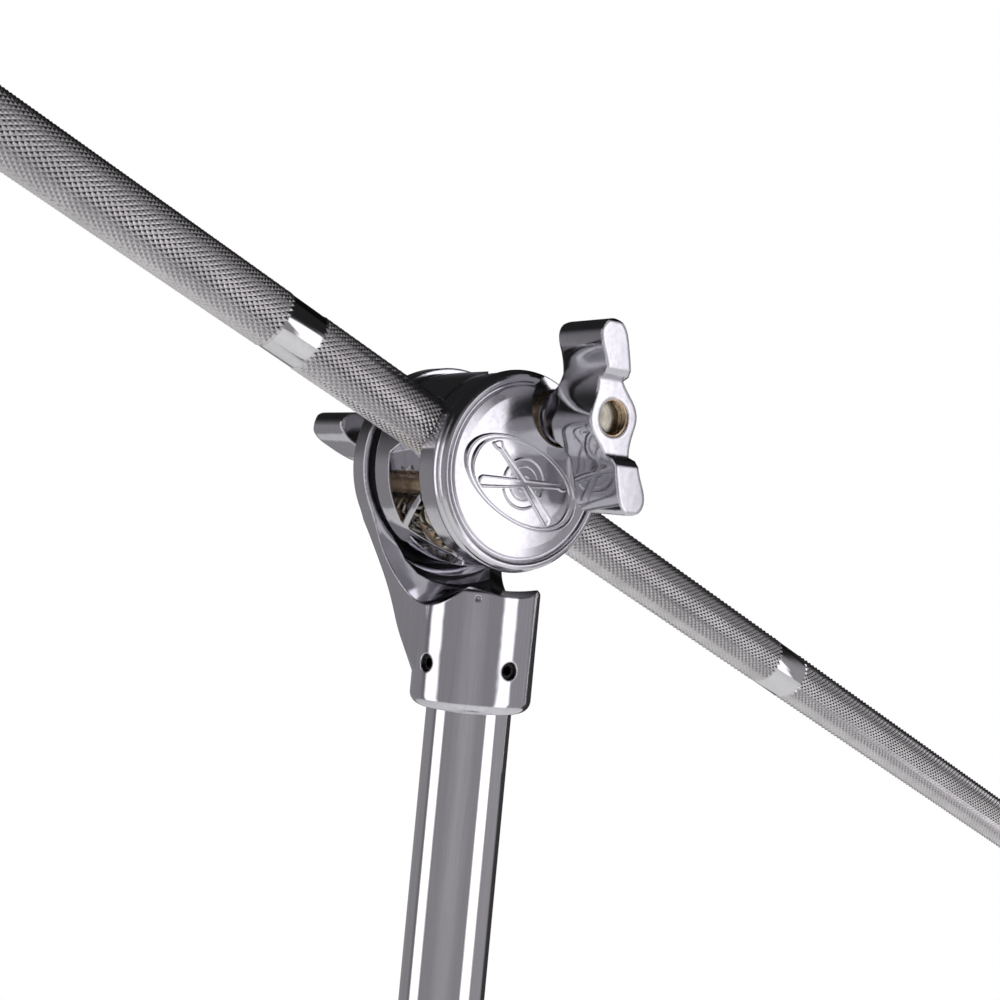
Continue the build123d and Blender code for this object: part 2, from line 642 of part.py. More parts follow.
def build_head():
    keep("tilter_bracket", at_head(tilter_bracket()))
    keep("set_screws", at_head(set_screws()))
    keep("friction_disc", at_head(friction_disc()))
    keep("drum", at_head(drum()))
    keep("guide_pins", at_head(guide_pins()))
    keep("cap_spring", at_head(cap_spring()))
    keep("pivot_bolt", at_head(pivot_bolt()))
    keep("rear_spring", at_head(rear_spring()))
    keep("rear_washer", at_head(rear_washer()))
    keep("rear_wing_nut", at_head(rear_wing_nut()))
    keep("clamp_stud", at_head(clamp_stud()))
    keep("clamp_washer", at_head(clamp_washer()))
    keep("clamp_wing_nut", at_head(clamp_wing_nut()))
    keep("front_cap", at_head(front_cap()))


def build_arm():
    keep("boom_arm", along_arm(boom_arm()))
    keep("arm_end_cap", along_arm(arm_end_cap()))
    keep("tilter_base", at_head(tilter_base()))
    keep("tilter_top", at_head(tilter_top()))
    keep("tilter_bolt", at_head(tilter_bolt()))
    keep("tilter_wing_nut", at_head(tilter_wing_nut()))
    keep("cymbal_post", at_head(cymbal_post()))
    keep("seat_washer", at_head(seat_washer()))
    keep("felt_sleeve", at_head(felt_sleeve()))
    keep("lower_felt", at_head(lower_felt()))
    keep("upper_felt", at_head(upper_felt()))
    keep("felt_washer", at_head(felt_washer()))
    keep("cymbal_wing_nut", at_head(cymbal_wing_nut()))


os.makedirs("parts", exist_ok=True)
build_base()
build_tubes()
build_head()
build_arm()
for name, shape in NODES.items():
    export_step(shape, f"parts/{name}.step")
print(len(NODES), "sub-parts written")
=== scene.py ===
import json
import math

import bpy
from mathutils import Matrix, Vector, noise

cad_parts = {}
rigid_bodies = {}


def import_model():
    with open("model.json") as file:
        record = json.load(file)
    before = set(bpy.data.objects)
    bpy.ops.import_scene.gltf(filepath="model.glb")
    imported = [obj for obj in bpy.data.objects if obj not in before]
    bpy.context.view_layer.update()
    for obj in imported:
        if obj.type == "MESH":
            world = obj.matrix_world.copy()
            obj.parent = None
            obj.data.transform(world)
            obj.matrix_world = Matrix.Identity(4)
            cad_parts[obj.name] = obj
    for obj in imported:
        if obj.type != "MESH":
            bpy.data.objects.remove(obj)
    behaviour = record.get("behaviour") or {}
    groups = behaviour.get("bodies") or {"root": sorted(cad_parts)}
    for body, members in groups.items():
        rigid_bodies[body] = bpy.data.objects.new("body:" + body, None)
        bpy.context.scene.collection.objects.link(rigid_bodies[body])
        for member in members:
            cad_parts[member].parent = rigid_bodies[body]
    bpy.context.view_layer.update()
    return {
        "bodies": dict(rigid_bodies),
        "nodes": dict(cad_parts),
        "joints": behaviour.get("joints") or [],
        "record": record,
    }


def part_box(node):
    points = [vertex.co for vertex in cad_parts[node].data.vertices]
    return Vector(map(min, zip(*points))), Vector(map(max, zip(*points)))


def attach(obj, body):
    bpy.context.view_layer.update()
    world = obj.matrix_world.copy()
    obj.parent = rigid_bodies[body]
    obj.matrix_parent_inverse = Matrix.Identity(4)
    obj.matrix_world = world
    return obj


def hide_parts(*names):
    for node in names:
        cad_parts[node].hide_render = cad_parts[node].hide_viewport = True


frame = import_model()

# Looks of the cymbal boom stand. Metres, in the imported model's frame: +Z up, origin on the floor.
MM = 0.001
BODIES = frame["bodies"]
NODES = frame["nodes"]
RECORD = frame["record"]
JOINTS = {joint["name"]: joint for joint in frame["joints"]}

# ---- driving dimensions, millimetres ---------------------------------------------
HEAD = Vector(JOINTS["boom_tilt"]["pos_m"])             # where the tilt axis meets the arm's axis
ARM_UP = Vector(JOINTS["boom_arm_slide"]["axis"])       # along the arm, towards the cymbal
ARM_RADIUS = 6.35
BAND_RADIUS = 6.15                                      # smooth bands between the grips
BORE_RADIUS = 4.2
ARM_CHAMFER = 0.35
PLAIN_END = -217.0                                      # plain end for the cymbal tilter
BANDS = ((-61.7, -53.6), (102.0, 112.0))
RIGHT_PLAIN = 12.0                                      # plain end for the rubber cap
KNURL_STARTS = 32
KNURL_PITCH = 1.486                                     # along the arm
KNURL_DEPTH = 0.36

FELT_BORE = 5.65
FELT_SQUARENESS = 0.42                                  # 1 is a round edge, 0 a square one
FELT_LUMPS = 0.14
FELT_FUZZ = 0.05
THREAD_PITCH = 1.25                                     # M8
THREAD_DEPTH = 0.55
POST_RADIUS = 4.0
POST_PLAY = 0.02                                        # below the nominal radius
POST_CHAMFER = 0.9
POST_THREAD = 46.0                                      # threaded length at the top of the cymbal post
THREAD_RUN_IN = 2.0                                     # length over which the thread gains its depth

CLAMP_STUD = (9.2, 12.8)                                # X and Z from the head's centre
NUT_FACE_Y = -29.3                                      # outer face of the clamp nut's hub
NUT_BORE = 4.0
NUT_CREST = 0.62                                        # how far the thread stands in from the bore
NUT_THREAD_LENGTH = 2.6                                 # in front of the stud's end

EMBLEM_AT = (-0.9, -2.6)                                # X and Z from the head's centre
EMBLEM_HALF = (16.8, 8.7)                               # half length and half height of the oval
EMBLEM_TURN = -22.0                                     # degrees
EMBLEM_RISE = 0.45
BORDER_LINES = (0.45, 1.45)                             # inset of the border's two lines
BORDER_WIDTH = 2.1                                      # the motif starts inside this
STICK_HALF = 10.5
STICK_TURNS = (24, 156)                                 # degrees
CYMBAL_RADIUS = 5.4
BELL_RADIUS = 1.7
BADGE_SINK = 0.03                                       # how far its ground lies in the cap's face
BADGE_DEPTH = 0.9                                       # of the hidden back

# ---- colours -----------------------------------------------------------------------
CAST_TINT = (0.76, 0.75, 0.79)
EVEN = (1, 1, 1)                                        # polishing marks with no direction
UPRIGHT = (1, 1, 0.03)                                  # polishing marks drawn out along Z
PALE_SHARE = 0.42                                       # of white in what dull surfaces see

# ---- camera, at the photograph's viewing angle -------------------------------------
CAMERA_AT = (-0.1838, -0.2536, 0.9399)
CAMERA_AZIMUTH = -36.39
CAMERA_ELEVATION = -0.67
CAMERA_ROLL = 5.42
CAMERA_LENS = 50.53


# ---- node helpers ------------------------------------------------------------------
class Graph:
    """Short way to build a node tree."""

    def __init__(self, tree):
        self.tree = tree

    def add(self, kind, **inputs):
        node = self.tree.nodes.new(kind)
        for key, value in inputs.items():
            self.put(node.inputs[key.replace("_", " ")], value)
        return node

    def put(self, socket, value):
        if isinstance(value, bpy.types.NodeSocket):
            self.tree.links.new(value, socket)
        else:
            socket.default_value = value

    def math(self, operation, a, b=0.0):
        node = self.tree.nodes.new("ShaderNodeMath")
        node.operation = operation
        self.put(node.inputs[0], a)
        self.put(node.inputs[1], b)
        return node.outputs[0]

    def step(self, value, low, high, out_low=0.0, out_high=1.0):
        """Smooth step from out_low at low to out_high at high."""
        node = self.tree.nodes.new("ShaderNodeMapRange")
        node.interpolation_type = "SMOOTHSTEP"
        self.put(node.inputs["Value"], value)
        node.inputs["From Min"].default_value = low
        node.inputs["From Max"].default_value = high
        node.inputs["To Min"].default_value = out_low
        node.inputs["To Max"].default_value = out_high
        return node.outputs["Result"]

    def noise(self, scale, detail=2.0, roughness=0.5, stretch=(1, 1, 1)):
        place = self.add("ShaderNodeTexCoord")
        mapping = self.add("ShaderNodeMapping", Vector=place.outputs["Object"])
        mapping.inputs["Scale"].default_value = stretch
        node = self.add("ShaderNodeTexNoise", Vector=mapping.outputs["Vector"])
        node.inputs["Scale"].default_value = scale
        node.inputs["Detail"].default_value = detail
        node.inputs["Roughness"].default_value = roughness
        return node.outputs["Fac"]

    def bump(self, height, strength, distance, normal=None):
        node = self.add("ShaderNodeBump", Height=height)
        node.inputs["Strength"].default_value = strength
        node.inputs["Distance"].default_value = distance
        if normal is not None:
            self.put(node.inputs["Normal"], normal)
        return node.outputs["Normal"]

    def soft_edges(self, radius):
        """Normal that rolls over sharp edges, for the small radii a casting has everywhere."""
        node = self.add("ShaderNodeBevel")
        node.samples = 6
        node.inputs["Radius"].default_value = radius
        return node.outputs["Normal"]

    def mix(self, factor, a, b):
        node = self.tree.nodes.new("ShaderNodeMix")
        node.data_type = "RGBA"
        self.put(node.inputs["Factor"], factor)
        self.put(node.inputs["A"], a)
        self.put(node.inputs["B"], b)
        return node.outputs["Result"]


def shade(name):
    """New material: (material, graph, its principled shader)."""
    material = bpy.data.materials.new(name)
    material.use_nodes = True
    graph = Graph(material.node_tree)
    shader = material.node_tree.nodes["Principled BSDF"]
    return material, graph, shader


def rgb(r, g, b):
    return (r, g, b, 1.0)


# ---- materials ---------------------------------------------------------------------
def chrome(name, tint, gloss, wave, grain=EVEN, edge=0.0):
    """Chrome plate: mirror with a faint orange peel, fine polishing marks and smears in its gloss."""
    material, graph, shader = shade(name)
    smears = graph.noise(38.0, detail=4.0, roughness=0.6)
    marks = graph.noise(900.0, detail=3.0, roughness=0.7, stretch=grain)
    rough = graph.math("ADD", graph.step(smears, 0.35, 0.75, gloss, gloss + 0.045),
                       graph.step(marks, 0.40, 0.75, 0.0, 0.06))
    dimmer = rgb(*[0.90 * c for c in tint])
    tone = graph.mix(graph.step(smears, 0.3, 0.8), rgb(*tint), dimmer)
    colour = graph.mix(graph.step(marks, 0.35, 0.7), tone, dimmer)
    rolled = graph.soft_edges(edge) if edge else None
    peel = graph.bump(graph.noise(260.0, detail=1.0), 0.35, wave, normal=rolled)
    fine = graph.bump(marks, 0.12, 0.00002, normal=peel)
    shader.inputs["Metallic"].default_value = 1.0
    graph.put(shader.inputs["Base Color"], colour)
    graph.put(shader.inputs["Roughness"], rough)
    graph.put(shader.inputs["Normal"], fine)
    return material


def knurled_chrome():
    """Plated knurl: painted shade in its grooves, where the base colour darkens with the mesh's
    pointiness, and a little grime.
    """
    material, graph, shader = shade("knurled_chrome")
    point = graph.add("ShaderNodeNewGeometry").outputs["Pointiness"]
    # painted shade: low pointiness in the grooves gives them the dark colour, high pointiness on the
    # peaks the clean one
    groove_shade = graph.step(point, 0.42, 0.58)
    grime = graph.noise(90.0, detail=5.0, roughness=0.65)
    clean = graph.mix(graph.step(grime, 0.35, 0.7), rgb(0.90, 0.88, 0.89), rgb(0.76, 0.74, 0.75))
    graph.put(shader.inputs["Base Color"], graph.mix(groove_shade, rgb(0.36, 0.35, 0.36), clean))
    graph.put(shader.inputs["Roughness"], graph.step(grime, 0.3, 0.75, 0.16, 0.28))
    graph.put(shader.inputs["Normal"], graph.bump(graph.noise(2400.0), 0.15, 0.00003))
    shader.inputs["Metallic"].default_value = 1.0
    return material


def plated(name, tint, stain, low, high):
    """Dull plated or bare metal with mottled colour."""
    material, graph, shader = shade(name)
    mottle = graph.noise(320.0, detail=5.0, roughness=0.62)
    colour = graph.mix(graph.step(mottle, 0.35, 0.7), rgb(*tint), rgb(*stain))
    graph.put(shader.inputs["Base Color"], colour)
    graph.put(shader.inputs["Roughness"], graph.step(mottle, 0.3, 0.7, low, high))
    graph.put(shader.inputs["Normal"], graph.bump(graph.noise(1500.0, detail=3.0), 0.3, 0.00003))
    shader.inputs["Metallic"].default_value = 1.0
    return material


def moulded(name, tint, scuff, gloss, grain_size, specular=0.5):
    """Moulded rubber or nylon: fine grain, lighter scuffs."""
    material, graph, shader = shade(name)
    low, high = gloss
    grain_scale, grain_depth = grain_size
    wear = graph.noise(60.0, detail=6.0, roughness=0.7)
    grain = graph.noise(grain_scale, detail=2.0)
    colour = graph.mix(graph.step(wear, 0.5, 0.78), rgb(*tint), rgb(*scuff))
    graph.put(shader.inputs["Base Color"], colour)
    graph.put(shader.inputs["Roughness"], graph.step(wear, 0.3, 0.75, low, high))
    graph.put(shader.inputs["Normal"], graph.bump(grain, 0.5, grain_depth))
    shader.inputs["Specular IOR Level"].default_value = specular
    return material


def felt_cloth():
    """Pressed wool felt: mottled grey, short fibres, soft sheen."""
    material, graph, shader = shade("grey_felt")
    fibres = graph.noise(1100.0, detail=6.0, roughness=0.75)
    clouds = graph.noise(140.0, detail=4.0)
    base = graph.mix(graph.step(clouds, 0.3, 0.7), rgb(0.115, 0.115, 0.12), rgb(0.165, 0.165, 0.17))
    colour = graph.mix(graph.step(fibres, 0.5, 0.72), base, rgb(0.30, 0.30, 0.31))
    graph.put(shader.inputs["Base Color"], colour)
    graph.put(shader.inputs["Normal"], graph.bump(fibres, 0.9, 0.0003))
    shader.inputs["Roughness"].default_value = 0.95
    shader.inputs["Sheen Weight"].default_value = 0.35
    shader.inputs["Sheen Roughness"].default_value = 0.45
    return material


def make_materials():
    """One material for each of the record's slots."""
    return {
        "chrome_tube": chrome("chrome_tube", (0.83, 0.82, 0.84), 0.035, 0.00002, grain=(1, 1, 0.05)),
        "chrome_cast": chrome("chrome_cast", CAST_TINT, 0.045, 0.00006, edge=0.0005),
        "chrome_strap": chrome("chrome_strap", (0.82, 0.81, 0.84), 0.06, 0.00003, edge=0.0004),
        "chrome_small": chrome("chrome_small", (0.82, 0.81, 0.83), 0.06, 0.00002, edge=0.0003),
        "knurled_chrome": knurled_chrome(),
        "zinc_steel": plated("zinc_steel", (0.60, 0.57, 0.48), (0.44, 0.41, 0.33), 0.22, 0.42),
        "brass": plated("brass", (0.60, 0.45, 0.30), (0.34, 0.25, 0.16), 0.20, 0.40),
        "black_steel": plated("black_steel", (0.030, 0.030, 0.032), (0.018, 0.018, 0.018), 0.30, 0.50),
        "black_nylon": moulded("black_nylon", (0.022, 0.022, 0.024), (0.05, 0.05, 0.052),
                               (0.38, 0.55), (1200.0, 0.00004)),
        "nylon_sleeve": moulded("nylon_sleeve", (0.035, 0.035, 0.038), (0.08, 0.08, 0.08),
                                (0.35, 0.5), (1200.0, 0.00003)),
        "black_rubber": moulded("black_rubber", (0.016, 0.016, 0.017), (0.05, 0.05, 0.05),
                                (0.62, 0.85), (700.0, 0.00012), specular=0.35),
        "grey_felt": felt_cloth(),
    }


# nodes whose finish differs a little from the rest of their slot:
# gloss, height of the orange peel, edge radius and polishing direction
WING_NUT_FINISH = (0.05, 0.00005, 0.0009, EVEN)
FINISHES = {
    "front_cap": (0.12, 0.00003, 0.0004, EVEN),
    "tilter_bracket": (0.08, 0.00012, 0.0006, UPRIGHT),
    "clamp_wing_nut": WING_NUT_FINISH,
    "rear_wing_nut": WING_NUT_FINISH,
    "lower_clamp_wing_nut": WING_NUT_FINISH,
    "upper_clamp_wing_nut": WING_NUT_FINISH,
    "tilter_wing_nut": WING_NUT_FINISH,
    "cymbal_wing_nut": WING_NUT_FINISH,
}


def finish_nodes():
    """Satin cap, brushed bracket, and rounder edges on the wing nuts."""
    for node, (gloss, wave, edge, grain) in FINISHES.items():
        own = chrome("chrome_cast_" + node, CAST_TINT, gloss, wave, grain=grain, edge=edge)
        NODES[node].data.materials.clear()
        NODES[node].data.materials.append(own)


def dress_nodes(materials):
    """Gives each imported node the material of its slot."""
    for part in RECORD["subparts"]:
        mesh = NODES[part["node"]].data
        mesh.materials.clear()
        mesh.materials.append(materials[part["material_slot"]])


# ---- mesh helpers ------------------------------------------------------------------
def frame_along(origin, axis):
    """Matrix that puts local +Z on axis, at origin."""
    turn = Vector(axis).to_track_quat("Z", "Y").to_matrix().to_4x4()
    return Matrix.Translation(origin) @ turn


def new_piece(name, points, faces, place, material, body, replaces=()):
    """Mesh piece from points in millimetres, placed in the row frame, riding on a body."""
    mesh = bpy.data.meshes.new(name)
    mesh.from_pydata([place @ (Vector(p) * MM) for p in points], [], faces)
    mesh.validate()
    mesh.materials.append(material)
    piece = bpy.data.objects.new(name, mesh)
    bpy.context.scene.collection.objects.link(piece)
    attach(piece, body)
    if replaces:
        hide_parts(*replaces)
    return piece


def smooth_by_angle(piece, degrees):
    mesh = piece.data
    mesh.shade_smooth()
    mesh.set_sharp_from_angle(angle=math.radians(degrees))


def ring(radii, height):
    """One turn of points: radii is a number per column."""
    count = len(radii)
    points = []
    for i, r in enumerate(radii):
        turn = 2 * math.pi * i / count
        points.append((r * math.cos(turn), r * math.sin(turn), height))
    return points


# ---- boom arm ----------------------------------------------------------------------
def arm_span():
    """First and last place of the arm along its axis, from the head; the cap's end is positive."""
    down = -ARM_UP
    along = [(v.co - HEAD).dot(down) / MM for v in NODES["boom_arm"].data.vertices]
    return min(along), max(along)


def knurled_arm(materials):
    """Arm tube whose three grips are cut with crossed grooves that leave small pyramids."""
    start, end = arm_span()
    columns = 2 * KNURL_STARTS
    rings = []
    kinds = []

    def plain(radius, place):
        rings.append(ring([radius] * columns, place))
        kinds.append("smooth")

    def grip(low, high):
        count = 2 * round((high - low) / KNURL_PITCH)
        for k in range(1, count):
            peaks = [ARM_RADIUS - (KNURL_DEPTH if (i + k) % 2 else 0.0) for i in range(columns)]
            rings.append(ring(peaks, low + (high - low) * k / count))
            kinds.append("even" if k % 2 == 0 else "odd")

    plain(BAND_RADIUS - ARM_CHAMFER, start)
    plain(BAND_RADIUS, start + ARM_CHAMFER)
    plain(BAND_RADIUS, PLAIN_END)
    place = PLAIN_END
    for low, high in BANDS:
        grip(place, low)
        plain(BAND_RADIUS, low)
        plain(BAND_RADIUS, high)
        place = high
    grip(place, end - RIGHT_PLAIN)
    plain(BAND_RADIUS, end - RIGHT_PLAIN)
    plain(BAND_RADIUS, end - ARM_CHAMFER)
    plain(BAND_RADIUS - ARM_CHAMFER, end)
    plain(BORE_RADIUS, end)
    plain(BORE_RADIUS, start)

    points = [p for turn in rings for p in turn]
    faces = []
    flat = []
    for k in range(len(rings)):
        after = (k + 1) % len(rings)
        cut = kinds[k] != "smooth" or kinds[after] != "smooth"
        odd = kinds[k] == "odd" or kinds[after] == "even"
        for i in range(columns):
            j = (i + 1) % columns
            a, b = k * columns + i, k * columns + j
            c, d = after * columns + j, after * columns + i
            if not cut:
                faces.append((a, b, c, d))
                flat.append(False)
            elif (i + (1 if odd else 0)) % 2 == 0:
                faces.extend([(a, b, d), (b, c, d)])
                flat.extend([True, True])
            else:
                faces.extend([(a, b, c), (a, c, d)])
                flat.extend([True, True])
    arm = new_piece("boom_arm_knurled", points, faces, frame_along(HEAD, -ARM_UP),
                    materials["knurled_chrome"], "boom_arm", replaces=["boom_arm"])
    arm.data.materials.append(materials["chrome_tube"])
    for polygon, is_flat in zip(arm.data.polygons, flat):
        polygon.use_smooth = not is_flat
        polygon.material_index = 0 if is_flat else 1
    arm.data.set_sharp_from_angle(angle=math.radians(28))


# ---- felts -------------------------------------------------------------------------
def felt_ring(node, materials, seed):
    """Pressed felt ring: rolled edges, a little uneven, with a cut bore."""
    low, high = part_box(node)
    axis = Vector(((low.x + high.x) / 2, (low.y + high.y) / 2, 0))
    radius = (high.x - low.x) / 2 / MM
    bottom, top = low.z / MM, high.z / MM
    middle, half = (bottom + top) / 2, (top - bottom) / 2
    columns, outer = 96, 26
    bore_chamfer = 0.5
    profile = []
    for k in range(outer + 1):
        turn = math.pi * (k / outer - 0.5)
        out = math.copysign(abs(math.cos(turn)) ** FELT_SQUARENESS, math.cos(turn))
        up = math.copysign(abs(math.sin(turn)) ** FELT_SQUARENESS, math.sin(turn))
        r = FELT_BORE + bore_chamfer + (radius - FELT_BORE - 0.7) * out
        profile.append((r, middle + (half - 0.15) * up))
    profile.append((FELT_BORE, top - bore_chamfer))
    profile.append((FELT_BORE, bottom + bore_chamfer))
    points = []
    for r, z in profile:
        for i in range(columns):
            turn = 2 * math.pi * i / columns
            spot = Vector((r * math.cos(turn), r * math.sin(turn), z + seed))
            lump = 0.0
            if r >= FELT_BORE + 0.2:
                lump = FELT_LUMPS * noise.noise(spot * 0.35) + FELT_FUZZ * noise.noise(spot * 1.7)
            points.append(((r + lump) * math.cos(turn), (r + lump) * math.sin(turn), z + 0.4 * lump))
    faces = []
    for k in range(len(profile)):
        after = (k + 1) % len(profile)
        for i in range(columns):
            j = (i + 1) % columns
            faces.append((k * columns + i, k * columns + j, after * columns + j, after * columns + i))
    piece = new_piece(node + "_wool", points, faces, Matrix.Translation(axis), materials["grey_felt"],
                      "cymbal_tilter", replaces=[node])
    smooth_by_angle(piece, 50)


# ---- threads -----------------------------------------------------------------------
def lathe(columns, heights, radius_at):
    """Rows of points round +Z, and the faces that close them end to end."""
    points = []
    for z in heights:
        for i in range(columns):
            turn = i / columns
            r = radius_at(turn, z)
            points.append((r * math.cos(2 * math.pi * turn), r * math.sin(2 * math.pi * turn), z))
    faces = []
    for k in range(len(heights) - 1):
        for i in range(columns):
            j = (i + 1) % columns
            a, b = k * columns, (k + 1) * columns
            faces.append((a + i, a + j, b + j, b + i))
    return points, faces


def thread_cut(turn, z):
    """Depth of a right-hand thread below its crest, with a flat crest and root."""
    phase = (z / THREAD_PITCH - turn) % 1.0
    flank = abs(2.0 * phase - 1.0)
    return THREAD_DEPTH * min(1.0, max(0.0, 1.35 * flank - 0.15))


def threaded_post(materials):
    """Cymbal post with its thread at the top, chamfered at the end."""
    low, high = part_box("cymbal_post")
    bottom, top = 0.0, (high.z - low.z) / MM
    start = top - POST_THREAD
    columns, steps = 40, 8

    def radius(turn, z):
        r = POST_RADIUS - POST_PLAY
        if z > start:
            run_in = min(1.0, (z - start) / THREAD_RUN_IN)
            r -= run_in * thread_cut(turn, z)
        return min(r, POST_RADIUS - POST_CHAMFER + (top - z))

    heights = [bottom, bottom + 0.001, start]
    count = int(POST_THREAD / THREAD_PITCH * steps)
    heights += [start + (top - start) * (k + 1) / count for k in range(count)]
    points, faces = lathe(columns, heights, radius)
    faces.append(tuple(reversed(range(columns))))
    last = (len(heights) - 1) * columns
    faces.append(tuple(range(last, last + columns)))
    place = Matrix.Translation(((low.x + high.x) / 2, (low.y + high.y) / 2, low.z))
    post = new_piece("cymbal_post_threaded", points, faces, place, materials["zinc_steel"],
                     "cymbal_tilter", replaces=["cymbal_post"])
    smooth_by_angle(post, 40)


def nut_thread(materials):
    """Thread in the mouth of the clamp wing nut, in front of the stud's end."""
    columns, steps = 48, 8
    bite = 0.04
    set_back = 0.25
    count = int(NUT_THREAD_LENGTH / THREAD_PITCH * steps)
    heights = [NUT_THREAD_LENGTH * k / count for k in range(count + 1)]
    points, inner = lathe(columns, heights, lambda turn, z: NUT_BORE - NUT_CREST + thread_cut(turn, z))
    outer, skin = lathe(columns, heights, lambda turn, z: NUT_BORE + bite)
    base = len(points)
    faces = [tuple(reversed(face)) for face in inner]
    faces += [tuple(base + v for v in face) for face in skin]
    last = (len(heights) - 1) * columns
    for i in range(columns):
        j = (i + 1) % columns
        faces.append((i, j, base + j, base + i))
        faces.append((last + j, last + i, base + last + i, base + last + j))
    mouth = HEAD + Vector((CLAMP_STUD[0], NUT_FACE_Y + set_back, CLAMP_STUD[1])) * MM
    thread = new_piece("clamp_wing_nut_thread", points + outer, faces, frame_along(mouth, (0, 1, 0)),
                       materials["brass"], "clamp_wing_nut")
    smooth_by_angle(thread, 40)


# ---- emblem ------------------------------------------------------------------------
def dome(radius):
    """How far the cap's face stands out from the head's middle plane."""
    knots = ((0.0, 13.5), (6.0, 13.4), (12.0, 13.1), (16.5, 12.7), (18.6, 12.4), (30.0, 10.0))
    for (r0, y0), (r1, y1) in zip(knots, knots[1:]):
        if radius <= r1:
            return y0 + (y1 - y0) * (radius - r0) / (r1 - r0)
    return knots[-1][1]


def bead(distance, half_width):
    """Rounded ridge across a line."""
    t = min(1.0, abs(distance) / half_width)
    return 0.5 + 0.5 * math.cos(math.pi * t)


def stick_distance(u, v, turn):
    """From a point to the outline of a drum stick lying through the middle, below 0 inside it."""
    c, s = math.cos(turn), math.sin(turn)
    along, across = c * u + s * v, c * v - s * u
    taper = 1.05 - 0.035 * (along + STICK_HALF)
    body = math.hypot(max(0.0, abs(along) - STICK_HALF), across) - max(0.45, taper)
    tip = math.hypot((along - STICK_HALF - 0.6) / 1.5, across / 0.95) - 1.0
    return min(body, tip)


def emblem_height(u, v):
    """Relief inside the border: crossed sticks over a cymbal seen from above, raised as outlines."""
    nearest = min(stick_distance(u, v, math.radians(turn)) for turn in STICK_TURNS)
    plate = math.hypot(u, v) - CYMBAL_RADIUS
    bell = math.hypot(u, v) - BELL_RADIUS
    rise = 0.0
    if nearest > 0.5:
        rise = max(rise, bead(plate, 0.42), 0.8 * bead(bell, 0.36), 0.45 * bead(plate + 1.7, 0.3))
    return max(rise, bead(nearest, 0.42), 0.55 if nearest < -0.1 else 0.0)


def cap_emblem(materials):
    """Oval badge on the cap: two raised lines round a generic motif, on ground that meets the cap."""
    a, b = EMBLEM_HALF
    columns = 320
    inner, outer = 74, 34
    shares = [k / inner * 0.86 for k in range(1, inner + 1)]
    shares += [0.86 + 0.16 * k / outer for k in range(1, outer + 1)]
    turn = math.radians(EMBLEM_TURN)
    points = []

    def put(u, v, rise):
        x = EMBLEM_AT[0] + u * math.cos(turn) - v * math.sin(turn)
        z = EMBLEM_AT[1] + u * math.sin(turn) + v * math.cos(turn)
        face = dome(math.hypot(x, z))
        points.append((x, -(face + rise), z))

    put(0, 0, EMBLEM_RISE * emblem_height(0, 0) - BADGE_SINK)
    for share in shares:
        for i in range(columns):
            angle = 2 * math.pi * i / columns
            u, v = share * a * math.cos(angle), share * b * math.sin(angle)
            inset = (1.0 - share) * math.hypot(b * math.cos(angle), a * math.sin(angle))
            border = max(bead(inset - BORDER_LINES[0], 0.42), bead(inset - BORDER_LINES[1], 0.36))
            motif = emblem_height(u, v) if inset > BORDER_WIDTH else 0.0
            put(u, v, EMBLEM_RISE * max(border, motif) - BADGE_SINK)
    under = len(points)
    for i in range(columns):
        angle = 2 * math.pi * i / columns
        put(1.02 * a * math.cos(angle), 1.02 * b * math.sin(angle), -BADGE_DEPTH)
    put(0, 0, -BADGE_DEPTH)
    faces = [(0, 1 + i, 1 + (i + 1) % columns) for i in range(columns)]
    rows = len(shares)
    for k in range(rows):
        low = 1 + k * columns
        high = under if k == rows - 1 else low + columns
        for i in range(columns):
            j = (i + 1) % columns
            faces.append((low + i, high + i, high + j, low + j))
    middle = len(points) - 1
    faces += [(under + (i + 1) % columns, under + i, middle) for i in range(columns)]
    badge = new_piece("front_cap_emblem", points, faces, Matrix.Translation(HEAD),
                      NODES["front_cap"].data.materials[0], "front_cap")
    badge.data.shade_smooth()


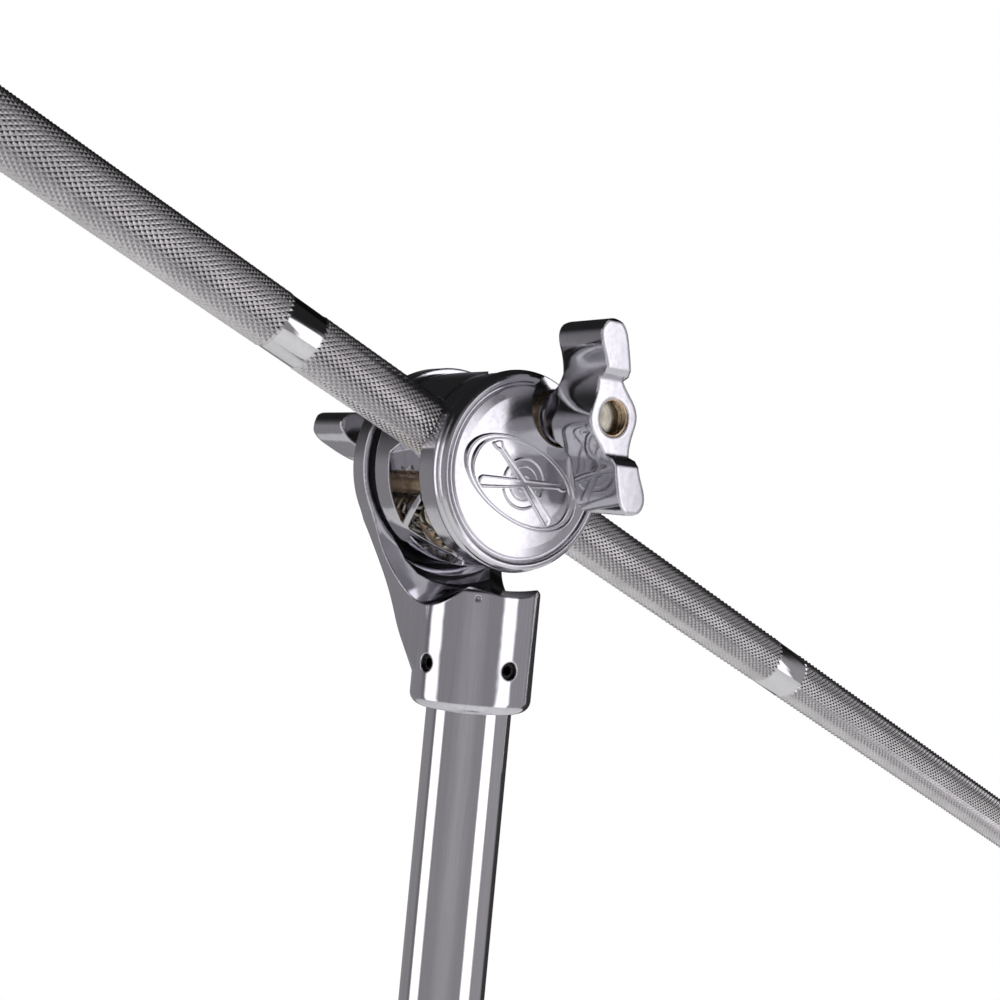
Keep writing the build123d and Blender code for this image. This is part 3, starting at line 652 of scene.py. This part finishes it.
# ---- studio ------------------------------------------------------------------------
def studio_world():
    """Studio for the chrome to mirror: two tall softboxes, a grey wall between, a dark ceiling.

    What the camera sees behind the stand is plain white, and dull surfaces get an even pale light.
    """
    world = bpy.data.worlds.new("studio")
    world.use_nodes = True
    tree = world.node_tree
    tree.nodes.clear()
    graph = Graph(tree)
    direction = graph.add("ShaderNodeTexCoord").outputs["Generated"]
    split = graph.add("ShaderNodeSeparateXYZ", Vector=direction)
    x, y, z = split.outputs
    to_degrees = 180 / math.pi
    towards = graph.math("MULTIPLY", y, -1.0)
    azimuth = graph.math("MULTIPLY", graph.math("ARCTAN2", x, towards), to_degrees)
    height = graph.math("MULTIPLY", graph.math("ARCSINE", z), to_degrees)

    def patch(low, high, bottom, top, value, soft=2.5):
        inside = graph.math("MULTIPLY", graph.step(azimuth, low - soft, low + soft),
                            graph.step(azimuth, high - soft, high + soft, 1.0, 0.0))
        upright = graph.math("MULTIPLY", graph.step(height, bottom - soft, bottom + soft),
                             graph.step(height, top - soft, top + soft, 1.0, 0.0))
        return graph.math("MULTIPLY", graph.math("MULTIPLY", inside, upright), value)

    light = graph.step(height, 2.0, 26.0, 0.16, 0.018)
    parts = [
        patch(-100.0, 12.0, -60.0, 22.0, 0.11, soft=6.0),       # wall behind the camera
        patch(-60.0, -20.0, -60.0, 14.0, 0.08, soft=16.0),      # its paler middle
        patch(13.6, 42.0, -70.0, 13.0, 1.5, soft=3.5),          # right softbox
        patch(-131.0, -103.0, -70.0, 21.0, 1.5, soft=4.0),      # left softbox
        patch(44.0, 90.0, -60.0, 18.0, 0.16, soft=6.0),         # wall beyond the right softbox
        patch(140.0, 184.0, -60.0, 3.0, 0.10, soft=5.0),        # low wall behind the stand, one side
        patch(-184.0, -142.0, -60.0, 3.0, 0.10, soft=5.0),      # and the other
    ]
    for part in parts:
        light = graph.math("ADD", light, part)
    dark_side = graph.math("MULTIPLY", graph.step(azimuth, 88.0, 98.0),
                           graph.step(azimuth, 136.0, 146.0, 1.0, 0.0))
    shadow = graph.math("MULTIPLY", dark_side, 0.75)
    light = graph.math("MULTIPLY", light, graph.math("SUBTRACT", 1.0, shadow))
    tinted = graph.add("ShaderNodeCombineXYZ", X=light, Y=graph.math("MULTIPLY", light, 0.975),
                       Z=graph.math("MULTIPLY", light, 1.02))
    studio = graph.add("ShaderNodeBackground", Color=tinted.outputs[0])
    white = graph.add("ShaderNodeBackground", Color=rgb(1.0, 1.0, 1.0))
    rays = graph.add("ShaderNodeLightPath")
    pale = graph.math("MULTIPLY", rays.outputs["Is Diffuse Ray"], PALE_SHARE)
    chooser = graph.add("ShaderNodeMixShader")
    graph.put(chooser.inputs[0], graph.math("MAXIMUM", rays.outputs["Is Camera Ray"], pale))
    graph.put(chooser.inputs[1], studio.outputs[0])
    graph.put(chooser.inputs[2], white.outputs[0])
    output = graph.add("ShaderNodeOutputWorld")
    graph.put(output.inputs["Surface"], chooser.outputs[0])
    bpy.context.scene.world = world


def area_light(name, at, aim, size, power):
    """Soft light for dull surfaces; neither the camera nor the chrome sees it."""
    data = bpy.data.lights.new(name, "AREA")
    data.shape = "RECTANGLE"
    data.size, data.size_y = size
    data.energy = power
    lamp = bpy.data.objects.new(name, data)
    bpy.context.scene.collection.objects.link(lamp)
    lamp.location = at
    lamp.rotation_mode = "QUATERNION"
    lamp.rotation_quaternion = (Vector(aim) - Vector(at)).to_track_quat("-Z", "Y")
    lamp.visible_camera = False
    lamp.visible_glossy = False


def studio_floor():
    """Round pale floor."""
    radius, columns = 1.9, 128
    points = [(0, 0, 0)] + ring([radius] * columns, 0)
    faces = [(0, i + 1, (i + 1) % columns + 1) for i in range(columns)]
    mesh = bpy.data.meshes.new("studio_floor")
    mesh.from_pydata(points, [], faces)
    material, _, shader = shade("studio_floor")
    shader.inputs["Base Color"].default_value = rgb(0.92, 0.92, 0.92)
    shader.inputs["Roughness"].default_value = 0.9
    mesh.materials.append(material)
    floor = bpy.data.objects.new("studio_floor", mesh)
    bpy.context.scene.collection.objects.link(floor)


def photo_camera():
    """Camera at the stated place, turned by azimuth, elevation and roll."""
    azimuth = math.radians(CAMERA_AZIMUTH)
    elevation = math.radians(CAMERA_ELEVATION)
    roll = math.radians(CAMERA_ROLL)
    back = Vector((math.sin(azimuth) * math.cos(elevation), -math.cos(azimuth) * math.cos(elevation),
                   math.sin(elevation)))
    right = Vector((math.cos(azimuth), math.sin(azimuth), 0))
    up = back.cross(right)
    rolled_right = right * math.cos(roll) + up * math.sin(roll)
    rolled_up = up * math.cos(roll) - right * math.sin(roll)
    data = bpy.data.cameras.new("photo_camera")
    data.sensor_width = 36.0
    data.lens = CAMERA_LENS
    data.clip_start, data.clip_end = 0.01, 50.0
    camera = bpy.data.objects.new("photo_camera", data)
    bpy.context.scene.collection.objects.link(camera)
    camera.matrix_world = (Matrix.Translation(CAMERA_AT)
                           @ Matrix((rolled_right, rolled_up, back)).transposed().to_4x4())
    bpy.context.scene.camera = camera


# ---- build -------------------------------------------------------------------------
bpy.context.scene.view_settings.view_transform = "Standard"
materials = make_materials()
dress_nodes(materials)
finish_nodes()
knurled_arm(materials)
threaded_post(materials)
nut_thread(materials)
cap_emblem(materials)
felt_ring("lower_felt", materials, 3.0)
felt_ring("upper_felt", materials, 71.0)
studio_world()
studio_floor()
area_light("overhead", (-0.4, -0.9, 2.6), (0, 0, 0.4), (1.8, 1.8), 30.0)
area_light("fill", (1.8, 0.9, 1.6), (0, 0, 0.5), (1.2, 1.2), 6.0)
photo_camera()
